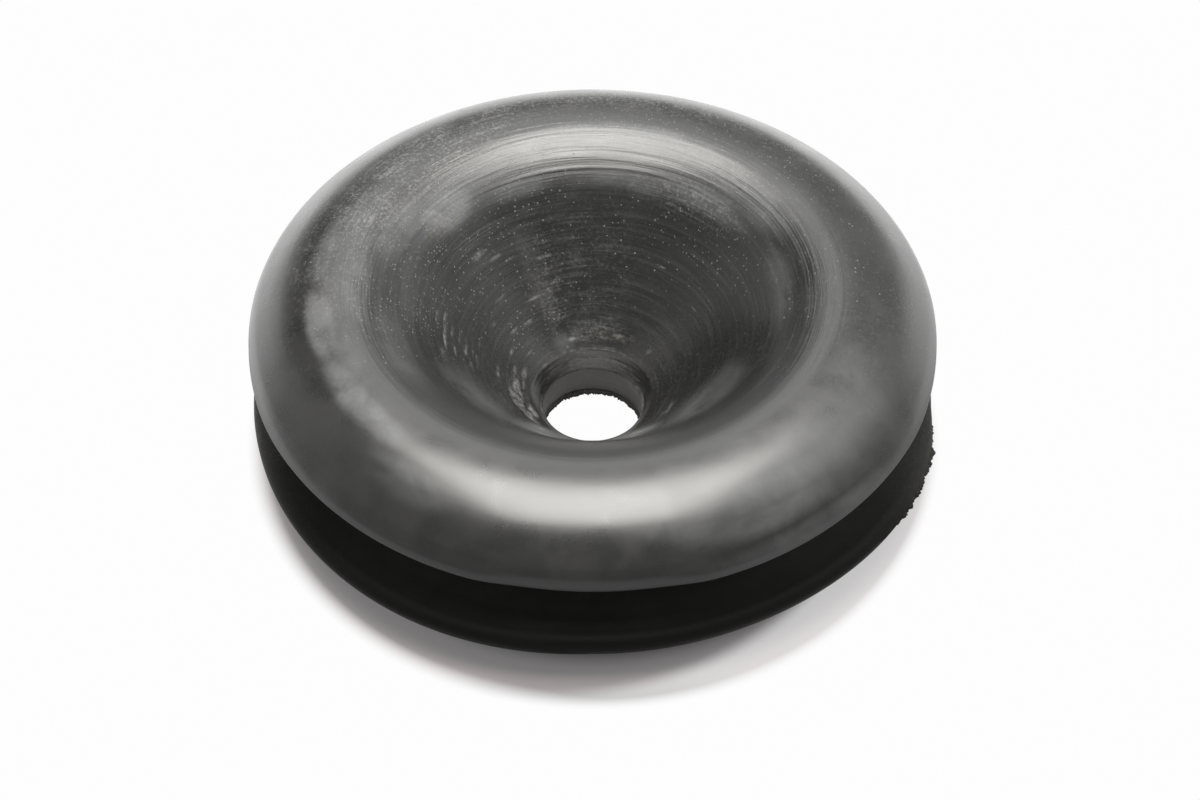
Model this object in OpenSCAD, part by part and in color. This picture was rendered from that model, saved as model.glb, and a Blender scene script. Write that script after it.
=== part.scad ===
// Rubber grommet: one moulding, turned about the Z axis.
// Two domed flanges hold a panel between them. A wide round-shouldered mouth in the upper
// flange runs down in a cone to a small straight bore. The origin is on the axis, in the
// plane of the flat lower face that the grommet rests on, and +Z runs out of the mouth.

/* [Flanges] */
// Outside diameter of both flanges
flange_d = 48; // [46:0.5:56]
// Thickness of one flange, from the groove to its crest
flange_t = 4.9; // [4.2:0.1:6]
// Diameter of the crest, the ring on which a flange is thickest
crest_d = 33; // [31:0.5:34.5]
// Radius of the round that turns the dome down into the rim
rim_r = 2.4; // [1.6:0.1:3]
// Radius of the small round on the lip between rim and groove
lip_r = 0.35; // [0.2:0.05:0.8]

/* [Panel groove] */
// Diameter at the root of the groove, which is the hole in the panel
groove_d = 38; // [35:0.5:41]
// Width of the groove, which is the thickness of the panel
groove_w = 4.6; // [2:0.1:6]
// Radius of the two fillets at the root of the groove
groove_fillet_r = 0.6; // [0.3:0.05:0.9]

/* [Mouth] */
// Radius of the shoulder that turns the crest down into the cone
shoulder_r = 4.8; // [3:0.1:6]
// Diameter of the cone at its foot
cone_foot_d = 8.4; // [7.8:0.1:10]
// Height of the foot of the cone above the lower face
cone_foot_z = 3.75; // [3.2:0.05:5]

/* [Bore] */
// Diameter of the straight bore
bore_d = 7; // [4:0.1:7.6]
// Height at which the straight bore opens into the lead-in below the cone
bore_top_z = 2.5; // [1.8:0.1:3]
// Radius of the round on the lower edge of the bore
bore_edge_r = 0.3; // [0.1:0.05:0.6]

/* [Hidden] */
$fn = 180;

// Where a flatter stretch of the section runs on into a round, its end lies this far inside
// the round, and the round runs on past it by this angle: so the two cross at one clean point.
seat = 0.002;
lap_angle = 5;

// How far a rounding piece reaches back into the body that it is joined to.
round_root = 0.15;

// Points of the section are [distance from the axis, height].
function polar(radius, angle) = radius * [cos(angle), sin(angle)];
function backwards(points) = [for (i = [len(points) - 1:-1:0]) points[i]];

flange_r = flange_d / 2;
bore_r = bore_d / 2;
height = groove_w + 2 * flange_t;

// The section is the same above and below the middle of the groove, outside the crest.
function flipped(points) = [for (p = points) [p.x, height - p.y]];

// Lip: the small quarter round between the widest line of the flange and the groove.
groove_top_z = height - flange_t;
lip_centre = [flange_r - lip_r, groove_top_z + lip_r];

// Rim: the larger round from the widest line up to the dome.
rim_centre = [flange_r - rim_r, lip_centre.y];
rim_seat_r = rim_r - seat;

// Dome: level at the crest, and it meets the rim without a corner.
crest = [crest_d / 2, height];
dome_rise = crest.y - rim_centre.y;
dome_run = rim_centre.x - crest.x;
dome_r = (dome_rise ^ 2 + dome_run ^ 2 - rim_seat_r ^ 2) / (2 * (dome_rise - rim_seat_r));
dome_centre = crest - [0, dome_r];
dome_end_angle = atan2(dome_r - dome_rise, dome_run);

// Groove: a fillet fills each corner at its root.
fillet_centre = [groove_d / 2 + groove_fillet_r, groove_top_z - groove_fillet_r];

// Corners of the upper flange, from its crest out and down to the root of the groove.
flange_points = [
    crest,
    rim_centre + polar(rim_seat_r, dome_end_angle),
    lip_centre + polar(lip_r, 0),
    lip_centre + polar(lip_r, -90),
    fillet_centre + polar(groove_fillet_r, 90),
    fillet_centre + polar(groove_fillet_r, 180),
];

// Cone: it runs straight from its foot and meets the shoulder without a corner.
cone_foot = [cone_foot_d / 2, cone_foot_z];
shoulder_centre = crest - [0, shoulder_r];
shoulder_seat_r = shoulder_r - seat;
foot_to_shoulder = shoulder_centre - cone_foot;
cone_slope = atan2(foot_to_shoulder.y, foot_to_shoulder.x)
    + asin(shoulder_seat_r / norm(foot_to_shoulder));
cone_end_angle = 90 + cone_slope;

// Bore: straight, with a small round where it leaves the lower face.
bore_edge_centre = [bore_r + bore_edge_r, bore_edge_r];

// Corners of the way through, from the lower face up to the shoulder.
mouth_points = [
    bore_edge_centre + polar(bore_edge_r, 270),
    bore_edge_centre + polar(bore_edge_r, 180),
    [bore_r, bore_top_z],
    cone_foot,
    shoulder_centre + polar(shoulder_seat_r, cone_end_angle),
];

// Solid of revolution of a section.
module turned() {
    rotate_extrude()
        children();
}

// The same thing on the lower flange.
module turned_over() {
    translate([0, 0, height])
        mirror([0, 0, 1])
            children();
}

// What lies between an arc and its chord: it swells a straight edge out to a round one.
// It also reaches back a little behind the chord, so that it and the body become one.
module swell(centre, radius, from_angle, to_angle) {
    start = polar(radius, from_angle);
    end = polar(radius, to_angle);
    middle_angle = (from_angle + to_angle) / 2;
    outward = polar(radius, middle_angle);
    behind = (start + end) / 2 - polar(round_root, middle_angle);
    turned()
        translate(centre)
            intersection() {
                circle(r = radius);
                polygon([start, start + outward, end + outward, end, behind]);
            }
}

// Straight-edged body that the rounds are put on.
module body() {
    turned()
        polygon(concat(mouth_points, flange_points, backwards(flipped(flange_points))));
}

// Rounds of the upper flange outside its crest.
module flange_rounds() {
    swell(dome_centre, dome_r, dome_end_angle, 90);
    swell(rim_centre, rim_r, 0, dome_end_angle + lap_angle);
    swell(lip_centre, lip_r, -90, 0);
}

// What the fillet leaves open of the corner at the root of the groove.
module groove_round() {
    swell(fillet_centre, groove_fillet_r, 90, 180);
}

module grommet() {
    color([0.22, 0.22, 0.21])
        difference() {
            union() {
                body();
                swell(bore_edge_centre, bore_edge_r, 180, 270);
                swell(shoulder_centre, shoulder_r, 90, cone_end_angle + lap_angle);
                flange_rounds();
                turned_over() flange_rounds();
            }
            groove_round();
            turned_over() groove_round();
        }
}

grommet();
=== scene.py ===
"""Looks of the rubber grommet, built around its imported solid.

The moulding is one rubber piece, turned about the Z axis. Its visible skin is swept from the same half
section as the solid, with the fine turned lines, nicks and waviness of real rubber, and carries some grit.
Angles on the moulding run clockwise as seen from above, from 0 at the back (+Y) to 90 at the right (+X).
Distances along the section run in millimetres from the lower edge of the bore up the mouth, over the crest
and round the rim.
"""

import logging
import math
from dataclasses import dataclass
from enum import Enum

import bmesh
import bpy
import numpy as np
from mathutils import Matrix, Vector, noise


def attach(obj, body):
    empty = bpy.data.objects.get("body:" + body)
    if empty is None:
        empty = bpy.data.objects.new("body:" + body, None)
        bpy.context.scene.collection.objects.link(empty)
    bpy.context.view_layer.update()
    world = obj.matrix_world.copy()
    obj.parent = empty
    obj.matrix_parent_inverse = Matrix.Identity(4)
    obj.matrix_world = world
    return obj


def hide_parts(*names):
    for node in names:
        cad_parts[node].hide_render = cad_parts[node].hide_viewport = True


LOG = logging.getLogger("grommet")
MM = 0.001
PLAIN_WHITE = 0.985
Range = tuple[float, float]
Triple = tuple[float, float, float]
Colour = tuple[float, float, float, float]
BLACK: Colour = (0.0, 0.0, 0.0, 1.0)
WHITE: Colour = (1.0, 1.0, 1.0, 1.0)

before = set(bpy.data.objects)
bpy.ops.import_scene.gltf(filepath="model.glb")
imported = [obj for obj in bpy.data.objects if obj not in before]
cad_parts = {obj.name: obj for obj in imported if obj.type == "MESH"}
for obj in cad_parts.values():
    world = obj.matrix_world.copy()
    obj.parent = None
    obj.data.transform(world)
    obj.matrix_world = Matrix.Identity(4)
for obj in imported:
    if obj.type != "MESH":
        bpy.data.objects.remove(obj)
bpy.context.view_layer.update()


# --------------------------------------------------------------------------------------------------
# Node trees
# --------------------------------------------------------------------------------------------------


class Term:
    """One output of a node, which can be reckoned with like a plain number."""

    def __init__(self, graph: "Graph", node: bpy.types.Node, output: int | str = 0) -> None:
        """Keeps which output it stands for.

        Args:
            graph: The graph that the node is in.
            node: The node.
            output: The output's name or index.
        """
        self.graph = graph
        self.node = node
        self.output = output

    def __getitem__(self, output: int | str) -> "Term":
        """Another output of the same node."""
        return Term(self.graph, self.node, output)

    @property
    def socket(self) -> bpy.types.NodeSocket:
        """The output socket."""
        return self.node.outputs[self.output]

    def apply(self, operation: str, *others: "Term | float") -> "Term":
        """A Math node's result, with this as its first input."""
        return self.graph.math(operation, self, *others)

    def __add__(self, other: "Term | float") -> "Term":
        """The sum."""
        return self.apply("ADD", other)

    def __radd__(self, other: float) -> "Term":
        """The sum with a plain number."""
        return self + other

    def __sub__(self, other: "Term | float") -> "Term":
        """The difference."""
        return self.apply("SUBTRACT", other)

    def __rsub__(self, other: float) -> "Term":
        """A plain number less this."""
        return self.graph.math("SUBTRACT", other, self)

    def __mul__(self, other: "Term | float") -> "Term":
        """The product."""
        return self.apply("MULTIPLY", other)

    def __truediv__(self, other: "Term | float") -> "Term":
        """The quotient."""
        return self.apply("DIVIDE", other)

    def __rtruediv__(self, other: float) -> "Term":
        """A plain number divided by this."""
        return self.graph.math("DIVIDE", other, self)

    def __pow__(self, power: float) -> "Term":
        """A power."""
        return self.apply("POWER", power)

    def __abs__(self) -> "Term":
        """The size without its sign."""
        return self.apply("ABSOLUTE")

    def at_least(self, other: "Term | float") -> "Term":
        """The larger of this and another."""
        return self.apply("MAXIMUM", other)

    def at_most(self, other: "Term | float") -> "Term":
        """The smaller of this and another."""
        return self.apply("MINIMUM", other)

    def ramp(self, low: float, high: float, to_low: "Term | float" = 0.0, to_high: float = 1.0) -> "Term":
        """Maps a range to another with a smooth start and end, clamped.

        Args:
            low: Where the result is to_low.
            high: Where the result is to_high.
            to_low: The result at low.
            to_high: The result at high.

        Returns:
            The result.
        """
        inputs = {"Value": self, "From Min": low, "From Max": high, "To Min": to_low, "To Max": to_high}
        return self.graph.node("ShaderNodeMapRange", inputs, interpolation_type="SMOOTHSTEP")


class Graph:
    """Short-hand for building one node tree, of a material, a node group or a Geometry Nodes modifier."""

    def __init__(self, tree: bpy.types.NodeTree) -> None:
        """Starts with an empty tree.

        Args:
            tree: The tree to build in. Its present nodes are removed.
        """
        self.tree = tree
        tree.nodes.clear()

    def node(self, kind: str, inputs: dict[int | str, object] | None = None, **settings: object) -> Term:
        """Adds a node.

        Args:
            kind: The node's type name.
            inputs: Input name or index to a term that feeds it, or to its own value.
            **settings: Properties of the node.

        Returns:
            The new node's first output.
        """
        made = self.tree.nodes.new(kind)
        for name, value in settings.items():
            setattr(made, name, value)
        for name, value in (inputs or {}).items():
            if isinstance(value, Term):
                self.tree.links.new(value.socket, made.inputs[name])
            else:
                made.inputs[name].default_value = value
        return Term(self, made)

    def math(self, operation: str, *values: Term | float) -> Term:
        """One number worked out from others."""
        return self.node("ShaderNodeMath", dict(enumerate(values)), operation=operation)

    def vector(self, operation: str, *values: Term | Triple) -> Term:
        """One vector worked out from others."""
        return self.node("ShaderNodeVectorMath", dict(enumerate(values)), operation=operation)

    def scaled(self, vector: Term, factor: Term | float) -> Term:
        """A vector times a number."""
        return self.node("ShaderNodeVectorMath", {0: vector, "Scale": factor}, operation="SCALE")

    def length(self, vector: Term) -> Term:
        """How long a vector is."""
        return self.vector("LENGTH", vector)["Value"]

    def facing(self, vector: Term, direction: Triple | Vector) -> Term:
        """How far a vector points in a direction."""
        return self.vector("DOT_PRODUCT", vector, direction)["Value"]

    def xyz(self, x: Term | float, y: Term | float, z: Term | float) -> Term:
        """A vector made of three numbers."""
        return self.node("ShaderNodeCombineXYZ", {0: x, 1: y, 2: z})

    def parts(self, vector: Term) -> tuple[Term, Term, Term]:
        """A vector's three numbers."""
        split = self.node("ShaderNodeSeparateXYZ", {0: vector})
        return split, split[1], split[2]

    def noise(
        self,
        place: Term,
        scale: Term | float,
        detail: float = 2.0,
        roughness: float = 0.5,
        twist: float = 0.0,
    ) -> Term:
        """Three-dimensional noise from 0 to 1.

        Args:
            place: Where it is read.
            scale: Its scale.
            detail: How many finer layers it has.
            roughness: How strong the finer layers are.
            twist: How far it is distorted.

        Returns:
            The noise.
        """
        inputs = {"Vector": place, "Scale": scale, "Detail": detail}
        inputs |= {"Roughness": roughness, "Distortion": twist}
        return self.node("ShaderNodeTexNoise", inputs)

    def colour(self, share: Term, first: Term | Colour, second: Term | Colour) -> Term:
        """Mixes two colours.

        Args:
            share: How much of the second colour is taken.
            first: The first colour.
            second: The second colour.

        Returns:
            The mixed colour.
        """
        return self.node("ShaderNodeMix", {"Factor": share, 6: first, 7: second}, data_type="RGBA")[2]

    def millimetres(self) -> Term:
        """The place on the dressed object, in millimetres."""
        return self.scaled(self.node("ShaderNodeTexCoord")["Object"], 1 / MM)


class TreeKind(Enum):
    """What a node tree is for."""

    SHADING = "ShaderNodeTree"
    SHAPING = "GeometryNodeTree"


class Wire(Enum):
    """What an input or output of a node tree carries."""

    NUMBER = "NodeSocketFloat"
    COUNT = "NodeSocketInt"
    VECTOR = "NodeSocketVector"
    SHAPE = "NodeSocketGeometry"
    FINISH = "NodeSocketMaterial"


def new_graph(name: str, kind: TreeKind, inputs: dict[str, float | Wire], outputs: dict[str, Wire]) -> Graph:
    """A node tree with named inputs and outputs.

    Args:
        name: The tree's name.
        kind: What it is for.
        inputs: Name of each input to its default number, or to what it carries where it isn't a number.
        outputs: Name of each output to what it carries.

    Returns:
        The graph to build it with.
    """
    tree = bpy.data.node_groups.new(name, kind.value)
    for label, value in inputs.items():
        wire = value if isinstance(value, Wire) else Wire.NUMBER
        socket = tree.interface.new_socket(label, in_out="INPUT", socket_type=wire.value)
        if wire is Wire.NUMBER:
            socket.default_value = value
    for label, wire in outputs.items():
        tree.interface.new_socket(label, in_out="OUTPUT", socket_type=wire.value)
    return Graph(tree)


@dataclass(frozen=True)
class Spot:
    """A place on the turned skin, as a node tree reads it.

    Attributes:
        along: Distance along the section.
        sine: Sine of the bearing.
        cosine: Cosine of the bearing.
    """

    along: Term
    sine: Term
    cosine: Term

    def unrolled(self, pitch: Term | float, breaks: Term | float) -> Term:
        """Where to read noise that runs in lines round the axis, with more breaks for a larger number."""
        return self.along.graph.xyz(self.along / pitch, self.sine * breaks, self.cosine * breaks)


class Zone(Enum):
    """A zone of the section: where along it the zone starts, is full, begins to fade and ends."""

    MOUTH_WEAR = (2.2, 3.2, 5.0, 19.0)
    CUT_WALL = (3.4, 5.0, 14.5, 16.5)
    SHOULDER = (16.5, 18.3, 19.6, 21.6)
    BLOOM = (17.3, 18.9, 19.2, 21.2)
    DOME = (20.4, 22.6, 25.6, 27.6)
    LIP_DROOP = (28.1, 29.9, 30.8, 33.0)
    LIP = (28.6, 29.6, 29.9, 30.3)
    LOWER_EDGE = (40.5, 44.5, 48.5, 54.0)

    def mask(self, along: Term) -> Term:
        """How far a place is inside the zone, from 0 to 1.

        Args:
            along: The place.

        Returns:
            The share.
        """
        start, full, fading, end = self.value
        return along.ramp(start, full) * along.ramp(end, fading)


# --------------------------------------------------------------------------------------------------
# Shape
# --------------------------------------------------------------------------------------------------


def eased(share: np.ndarray) -> np.ndarray:
    """A share from 0 to 1 with a smooth start and end."""
    return share * share * (3 - 2 * share)


class Stretch(Enum):
    """A stretch of the half section: its order, its rows in the skin and how strongly it is scored."""

    BORE_EDGE = (0, 4, 0.05)
    BORE = (1, 12, 0.5)
    LEAD_IN = (2, 14, 1.0)
    CONE = (3, 128, 0.16)
    SHOULDER = (4, 60, 1.0)
    DOME = (5, 50, 0.15)
    RIM = (6, 16, 0.05)
    LIP = (7, 6, 0.05)
    GROOVE_ROOF = (8, 3, 0.05)
    GROOVE_FILLET = (9, 3, 0.05)
    GROOVE_ROOT = (10, 2, 0.05)
    GROOVE_FLOOR = (11, 3, 0.05)
    LOWER_RIM = (12, 8, 0.05)
    LOWER_DOME = (13, 12, 0.5)
    BASE = (14, 2, 0.05)

    def __init__(self, order: int, rows: int, ridge: float) -> None:
        """Names the stretch's numbers.

        Args:
            order: Its place in the section.
            rows: How many rows it has.
            ridge: How strongly it is scored, as a share of the full height.
        """
        self.order = order
        self.rows = rows
        self.ridge = ridge


@dataclass(frozen=True)
class Row:
    """One row of the skin: a place on the half section, in millimetres.

    Attributes:
        r: Distance from the axis.
        z: Height.
        out_r: Outward direction, away from the axis.
        out_z: Outward direction, upwards.
        along: Distance along the section.
        stretch: The stretch that it is on.
    """

    r: float
    z: float
    out_r: float
    out_z: float
    along: float
    stretch: Stretch


@dataclass(frozen=True)
class Section:
    """Half section of the moulding, in millimetres.

    Attributes:
        flange_d: Diameter of both flanges.
        flange_t: Height of one flange.
        crest_d: Diameter of the crest ring.
        rim_r: Radius of the rim.
        lip_r: Radius of the solid's lip.
        groove_d: Diameter of the groove's root.
        groove_w: Width of the groove.
        groove_fillet_r: Radius of the groove's fillets.
        shoulder_r: Radius of the shoulder.
        cone_foot_d: Diameter of the cone's foot.
        cone_foot_z: Height of the cone's foot.
        bore_d: Diameter of the bore.
        bore_top_z: Height of the bore's upper end.
        bore_edge_r: Radius of the bore's lower edge.
        inset: How far the skin lies inside the solid, so that its raised lines stay in the solid's box.
        crest_out: How much further out the upper crest stands in the skin than in the solid.
        crest_from: Where along the section that begins.
        crest_rise: How much further along it is full.
        crest_to: Where it ends.
        crest_fall: How much before that it is still full.
        lip_round: Radius of the skin's lips.
    """

    flange_d: float = 48.1
    flange_t: float = 4.9
    crest_d: float = 33.0
    rim_r: float = 2.4
    lip_r: float = 0.35
    groove_d: float = 38.0
    groove_w: float = 4.6
    groove_fillet_r: float = 0.6
    shoulder_r: float = 4.8
    cone_foot_d: float = 8.4
    cone_foot_z: float = 3.75
    bore_d: float = 7.0
    bore_top_z: float = 2.5
    bore_edge_r: float = 0.3
    inset: float = 0.02
    crest_out: float = 0.45
    crest_from: float = 15.2
    crest_rise: float = 3.4
    crest_to: float = 27.5
    crest_fall: float = 5.0
    lip_round: float = 0.8

    @property
    def height(self) -> float:
        """Height of the whole moulding."""
        return self.groove_w + 2 * self.flange_t

    def _mirrored(self, point: np.ndarray) -> np.ndarray:
        """The same point of the other flange."""
        return np.array([point[0], self.height - point[1]])

    @staticmethod
    def _polar(radius: float, angle: float) -> np.ndarray:
        """A step of a given length at an angle in degrees."""
        return radius * np.array([math.cos(math.radians(angle)), math.sin(math.radians(angle))])

    @staticmethod
    def _arc(centre: np.ndarray, radius: float, start: float, end: float, count: int) -> np.ndarray:
        """Points on an arc, with angles in degrees.

        Args:
            centre: Its centre.
            radius: Its radius.
            start: Angle of the first point.
            end: Angle just past the last point.
            count: How many points.

        Returns:
            The points, one a line.
        """
        turn = np.radians(start + (end - start) * np.arange(count) / count)
        return centre + radius * np.stack([np.cos(turn), np.sin(turn)], -1)

    @staticmethod
    def _line(start: np.ndarray, end: np.ndarray, count: int) -> np.ndarray:
        """Points on a straight line, the last one short of its end."""
        return start + (end - start) * (np.arange(count) / count)[:, None]

    def _stretches(self) -> list[tuple[Stretch, np.ndarray]]:
        """Each stretch of the section with its points, worked out from the sizes of its neighbours.

        Returns:
            The stretches, in order.
        """
        top, flip = self.height, self._mirrored
        rim = np.array([self.flange_d / 2 - self.rim_r, top - self.flange_t + self.lip_r])
        ease = math.degrees(math.asin((self.lip_round - self.lip_r) / (self.rim_r - self.lip_round)))
        lip = rim + self._polar(self.rim_r - self.lip_round, ease)
        lip_end = lip - [0, self.lip_round]
        crest = np.array([self.crest_d / 2, top])
        run, rise = rim[0] - crest[0], crest[1] - rim[1]
        dome_r = (rise**2 + run**2 - self.rim_r**2) / (2 * (rise - self.rim_r))
        dome = crest - [0, dome_r]
        join = math.degrees(math.atan2(dome_r - rise, run))
        foot = np.array([self.cone_foot_d / 2, self.cone_foot_z])
        shoulder = crest - [0, self.shoulder_r]
        reach = shoulder - foot
        slope = math.atan2(reach[1], reach[0]) + math.asin(self.shoulder_r / np.hypot(*reach))
        steep = 90 + math.degrees(slope)
        cone_top = shoulder + self._polar(self.shoulder_r, steep)
        edge_r, edge = self.bore_edge_r, np.array([self.bore_d / 2 + self.bore_edge_r, self.bore_edge_r])
        land = np.array([self.bore_d / 2, self.bore_top_z])
        fillet_r = self.groove_fillet_r
        fillet = np.array([self.groove_d / 2 + fillet_r, top - self.flange_t - fillet_r])
        root, roof = fillet - [fillet_r, 0], fillet + [0, fillet_r]
        s, arc, line = Stretch, self._arc, self._line
        plan = (
            (s.BORE_EDGE, arc, (edge, edge_r, 270, 180)),
            (s.BORE, line, (edge - [edge_r, 0], land)),
            (s.LEAD_IN, line, (land, foot)),
            (s.CONE, line, (foot, cone_top)),
            (s.SHOULDER, arc, (shoulder, self.shoulder_r, steep, 90)),
            (s.DOME, arc, (dome, dome_r, 90, join)),
            (s.RIM, arc, (rim, self.rim_r, join, ease)),
            (s.LIP, arc, (lip, self.lip_round, ease, -90)),
            (s.GROOVE_ROOF, line, (lip_end, roof)),
            (s.GROOVE_FILLET, arc, (fillet, fillet_r, 90, 180)),
            (s.GROOVE_ROOT, line, (root, flip(root))),
            (s.GROOVE_FILLET, arc, (flip(fillet), fillet_r, 180, 270)),
            (s.GROOVE_FLOOR, line, (flip(roof), flip(lip_end))),
            (s.LIP, arc, (flip(lip), self.lip_round, 90, -ease)),
            (s.LOWER_RIM, arc, (flip(rim), self.rim_r, -ease, -join)),
            (s.LOWER_DOME, arc, (flip(dome), dome_r, -join, -90)),
            (s.BASE, line, (flip(crest), edge - [0, edge_r])),
        )
        return [(stretch, draw(*sizes, stretch.rows)) for stretch, draw, sizes in plan]

    def rows(self) -> list[Row]:
        """The rows of the skin, from the lower edge of the bore and round to it again.

        Returns:
            The rows, in order. The last is the first again.
        """
        stretches = self._stretches()
        first, start = stretches[0]
        points = np.concatenate([places for _, places in stretches] + [start[:1]])
        kinds = [kind for kind, places in stretches for _ in places] + [first]
        ahead = np.roll(points[:-1], -1, 0) - np.roll(points[:-1], 1, 0)
        ahead = np.concatenate([ahead, ahead[:1]])
        ahead /= np.linalg.norm(ahead, axis=1)[:, None]
        outward = np.stack([-ahead[:, 1], ahead[:, 0]], -1)
        along = np.concatenate([[0], np.cumsum(np.linalg.norm(np.diff(points, axis=0), axis=1))])
        along -= along[first.rows]
        points = points - outward * self.inset
        rising = np.clip((along - self.crest_from) / self.crest_rise, 0, 1)
        falling = np.clip((self.crest_to - along) / self.crest_fall, 0, 1)
        points[:, 0] += self.crest_out * eased(rising * falling)
        return [Row(*p, *o, a, k) for p, o, a, k in zip(points, outward, along, kinds)]


@dataclass(frozen=True)
class Spread:
    """How far the lower flange's edge stands past its circle towards the front, in millimetres.

    Attributes:
        left: How strong it is on the left.
        right: How strong it is on the right.
    """

    left: float = 0.6
    right: float = 1.1

    def at(self, bearing: float) -> float:
        """The distance at one place.

        Args:
            bearing: The place, in degrees.

        Returns:
            The distance there.
        """
        sine, cosine = math.sin(math.radians(bearing)), math.cos(math.radians(bearing))
        strength = self.right * sine**4 if sine > 0 else self.left * abs(cosine)
        return max(0.0, -2 * abs(sine) * cosine) * strength


class TurnedTree:
    """Geometry Nodes that sweep a half section about the Z axis and score it with turned lines."""

    FLOATS = {
        "Ridge Height": 6.0e-5,
        "Ridge Pitch": 0.38,
        "Ridge Breaks": 0.8,
        "Front Share": 0.3,
        "Wave Height": 3e-5,
        "Wave Pitch": 9.0,
        "Wave Breaks": 1.3,
        "Highest": 1.5e-5,
        "Spread Left": Spread.left * MM,
        "Spread Right": Spread.right * MM,
        "Half Width": 0.02385,
        "Mouth Wear": 5.3e-4,
        "Lip Droop": 2.9e-4,
    }
    LINES_LEVEL = 0.55
    WAVES_LEVEL = 0.62
    JOIN = 1e-7

    def __init__(self) -> None:
        """Builds the tree."""
        inputs = {"Section": Wire.SHAPE, "Rows": Wire.COUNT, "Steps Around": Wire.COUNT, **self.FLOATS}
        inputs["Material"] = Wire.FINISH
        self.graph = new_graph("turned_moulding", TreeKind.SHAPING, inputs, {"Geometry": Wire.SHAPE})
        self.given = self.graph.node("NodeGroupInput")
        self._build()

    def _sampled(self, row: Term, name: str | None = None, kind: str = "FLOAT_VECTOR") -> Term:
        """A value of the section at one of its rows.

        Args:
            row: The row's number.
            name: The attribute's name, or None for the position.
            kind: FLOAT or FLOAT_VECTOR.

        Returns:
            The value.
        """
        g = self.graph
        if name is None:
            source = g.node("GeometryNodeInputPosition")
        else:
            source = g.node("GeometryNodeInputNamedAttribute", {"Name": name}, data_type=kind)
        inputs = {"Geometry": self.given["Section"], "Value": source, "Index": row}
        return g.node("GeometryNodeSampleIndex", inputs, data_type=kind, domain="POINT")

    def _push(self, spot: Spot, share: Term) -> Term:
        """How far the turned lines and the waves move the skin outwards.

        Args:
            spot: The place.
            share: How strongly its stretch is scored.

        Returns:
            The distance.
        """
        g, given = self.graph, self.given
        lines = g.noise(spot.unrolled(given["Ridge Pitch"], given["Ridge Breaks"]), 1.0, 2.0, 0.6)
        waves = g.noise(spot.unrolled(given["Wave Pitch"], given["Wave Breaks"]), 1.0, 1.0)
        crisp = spot.cosine.ramp(-0.75, 0.15, given["Front Share"], 1.0)
        scored = (lines - self.LINES_LEVEL) * share * given["Ridge Height"] * crisp
        waved = (waves - self.WAVES_LEVEL) * given["Wave Height"]
        return (scored + waved).at_most(given["Highest"])

    def _spread(self, spot: Spot) -> Term:
        """How far the lower flange's edge and the upper lip's front stand out past their circles.

        Args:
            spot: The place.

        Returns:
            The distance.
        """
        given, along, sine, cosine = self.given, spot.along, spot.sine, spot.cosine
        wide = (abs(sine) * cosine * -2.0).at_least(0.0)
        on_right = sine.apply("GREATER_THAN", 0.0)
        right = abs(sine) ** 4.0 * on_right * given["Spread Right"]
        left = abs(cosine) * (1.0 - on_right) * given["Spread Left"]
        spread = wide * (right + left) * Zone.LOWER_EDGE.mask(along)
        droop = Zone.LIP_DROOP.mask(along) * cosine.ramp(-0.05, -0.45) * cosine.ramp(-0.99, -0.94)
        return droop * given["Lip Droop"] + spread

    def _build(self) -> None:
        """Lays out the nodes: a grid, bent round the axis, pushed out by the lines, closed and dressed."""
        g, given = self.graph, self.given
        rows, steps = given["Rows"], given["Steps Around"]
        size = {"Size X": 1.0, "Size Y": 1.0, "Vertices X": rows, "Vertices Y": steps + 1}
        grid = g.node("GeometryNodeMeshGrid", size)
        across, around, _ = g.parts(g.node("GeometryNodeInputPosition"))
        row = ((across + 0.5) * (rows - 1)).apply("ROUND")
        turn = around * (2 * math.pi)
        sine, cosine = turn.apply("SINE"), turn.apply("COSINE")
        point_r, _, point_z = g.parts(self._sampled(row))
        out_r, _, out_z = g.parts(self._sampled(row, "out"))
        along = self._sampled(row, "along", "FLOAT")
        spot = Spot(along, sine, cosine)
        push = self._push(spot, self._sampled(row, "ridge", "FLOAT"))
        worn = (cosine * -1.0).at_least(0.0) ** 3.0 * given["Mouth Wear"] * Zone.MOUTH_WEAR.mask(along)
        plain = push * out_r + point_r + worn
        edge = given["Half Width"] / abs(sine).at_least(abs(cosine))
        reach = plain.at_least((plain + self._spread(spot)).at_most(edge))
        place = g.xyz(reach * sine, reach * cosine, push * out_z + point_z)
        stored = {"Geometry": grid, "Name": "along", "Value": along}
        kept = g.node("GeometryNodeStoreNamedAttribute", stored, data_type="FLOAT", domain="POINT")
        bent = g.node("GeometryNodeSetPosition", {"Geometry": kept, "Position": place})
        closed = g.node("GeometryNodeMergeByDistance", {"Geometry": bent, "Distance": self.JOIN})
        smooth = g.node("GeometryNodeSetShadeSmooth", {"Geometry": closed})
        whole = g.node("GeometryNodeRealizeInstances", {"Geometry": smooth})
        dressed = g.node("GeometryNodeSetMaterial", {"Geometry": whole, "Material": given["Material"]})
        g.node("NodeGroupOutput", {0: dressed})


def placed(name: str, data: bpy.types.ID) -> bpy.types.Object:
    """A new object in the scene, at the origin.

    Args:
        name: Its name.
        data: Its mesh, lamp or camera.

    Returns:
        The object.
    """
    made = bpy.data.objects.new(name, data)
    bpy.context.scene.collection.objects.link(made)
    return made


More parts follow.
